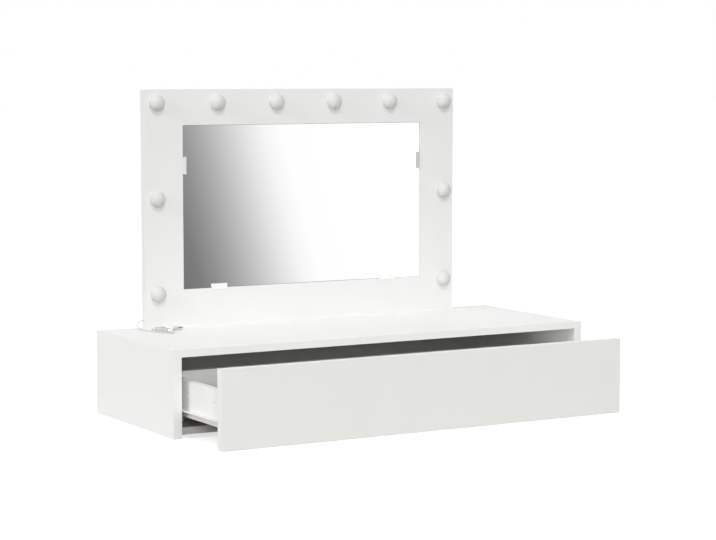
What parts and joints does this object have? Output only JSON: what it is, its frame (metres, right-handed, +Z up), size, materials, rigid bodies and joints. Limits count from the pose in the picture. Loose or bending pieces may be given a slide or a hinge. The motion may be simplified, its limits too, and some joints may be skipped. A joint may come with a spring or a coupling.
{
  "type": "dressing table",
  "caption": "Wall-hung white dressing table: a shallow box with one wide handleless drawer on roller runners, under a framed mirror ringed with globe lamps on a switched lead.",
  "frame": {"origin": "on the wall plane, in the middle of the underside", "axes": "+X to the right, +Y into the wall, +Z up; the drawer opens along -Y"},
  "size_m": [0.8, 0.448, 0.556],
  "materials": {
    "white_board": "white melamine, satin",
    "front_board": "white melamine, satin",
    "thin_board": "white faced hardboard",
    "beech": "fluted, raw",
    "zinc": "zinc plated",
    "white_steel": "white epoxy coat",
    "white_nylon": "moulded",
    "silvered_glass": "silvered",
    "opal": "opal, satin",
    "light_board": "coated board",
    "lead_jacket": "soft jacket",
    "switch_shell": "moulded",
    "plug_steel": "plated sheet"
  },
  "bodies": {
    "carcass": {"side_panel_left": "white_board", "side_panel_right": "white_board", "top_panel": "white_board", "bottom_panel": "white_board", "back_panel": "thin_board", "hanging_rail": "white_board", "carcass_dowels": "beech", "carcass_cams": "zinc", "carcass_cam_bolts": "zinc", "cabinet_runner_left": "white_steel", "cabinet_runner_right": "white_steel", "cabinet_runner_screws": "zinc", "mirror_stile_left": "white_board", "mirror_stile_right": "white_board", "mirror_rail_top": "white_board", "mirror_rail_bottom": "white_board", "mirror_backing": "thin_board", "mirror_packing": "thin_board", "mirror_glass": "silvered_glass", "mirror_clip_left": "white_nylon", "mirror_clip_right": "white_nylon", "mirror_clip_bottom_left": "white_nylon", "mirror_clip_bottom_right": "white_nylon", "mirror_dowels": "beech", "mirror_fixing_screws": "zinc", "backing_screws": "zinc", "lamp_globe_01": "opal", "lamp_globe_02": "opal", "lamp_globe_03": "opal", "lamp_globe_04": "opal", "lamp_globe_05": "opal", "lamp_globe_06": "opal", "lamp_globe_07": "opal", "lamp_globe_08": "opal", "lamp_globe_09": "opal", "lamp_globe_10": "opal", "lamp_sockets": "white_nylon", "lamp_light_boards": "light_board", "lamp_harness": "lead_jacket", "lead_grommet": "lead_jacket", "usb_lead": "lead_jacket", "switch_case": "switch_shell", "usb_tail": "lead_jacket", "usb_plug_body": "lead_jacket", "usb_plug_shell": "plug_steel"},
    "drawer": {"drawer_front": "front_board", "drawer_side_left": "white_board", "drawer_side_right": "white_board", "drawer_back": "white_board", "drawer_bottom": "thin_board", "drawer_runner_left": "white_steel", "drawer_runner_right": "white_steel", "drawer_cams": "zinc", "drawer_cam_bolts": "zinc", "drawer_dowels": "beech", "drawer_screws": "zinc"},
    "front_roller_left": {"cabinet_roller_left": "white_nylon"},
    "front_roller_right": {"cabinet_roller_right": "white_nylon"},
    "rear_roller_left": {"drawer_roller_left": "white_nylon"},
    "rear_roller_right": {"drawer_roller_right": "white_nylon"},
    "switch_button": {"switch_button": "switch_shell"}
  },
  "joints": [
    {"name": "drawer_slide", "type": "slide", "parent": "carcass", "child": "drawer", "axis": [0, -1, 0], "range_m": [-0.138, 0.052]},
    {"name": "front_roller_left_spin", "type": "hinge", "parent": "carcass", "child": "front_roller_left", "pos_m": [-0.3817, -0.281, 0.0365], "axis": [1, 0, 0], "continuous": true},
    {"name": "rear_roller_left_spin", "type": "hinge", "parent": "drawer", "child": "rear_roller_left", "pos_m": [-0.3758, -0.193, 0.0365], "axis": [1, 0, 0], "continuous": true},
    {"name": "front_roller_right_spin", "type": "hinge", "parent": "carcass", "child": "front_roller_right", "pos_m": [0.3817, -0.281, 0.0365], "axis": [1, 0, 0], "continuous": true},
    {"name": "rear_roller_right_spin", "type": "hinge", "parent": "drawer", "child": "rear_roller_right", "pos_m": [0.3758, -0.193, 0.0365], "axis": [1, 0, 0], "continuous": true},
    {"name": "switch_press", "type": "slide", "parent": "carcass", "child": "switch_button", "axis": [0, 0, -1], "range_m": [0, 0.0008], "stiffness_N_per_m": 200, "springref_m": -0.002}
  ],
  "couplings": [
    {"joint": "front_roller_left_spin", "follows": "drawer_slide", "rad_per_m": 142.86},
    {"joint": "rear_roller_left_spin", "follows": "drawer_slide", "rad_per_m": 142.86},
    {"joint": "front_roller_right_spin", "follows": "drawer_slide", "rad_per_m": 142.86},
    {"joint": "rear_roller_right_spin", "follows": "drawer_slide", "rad_per_m": 142.86}
  ]
}
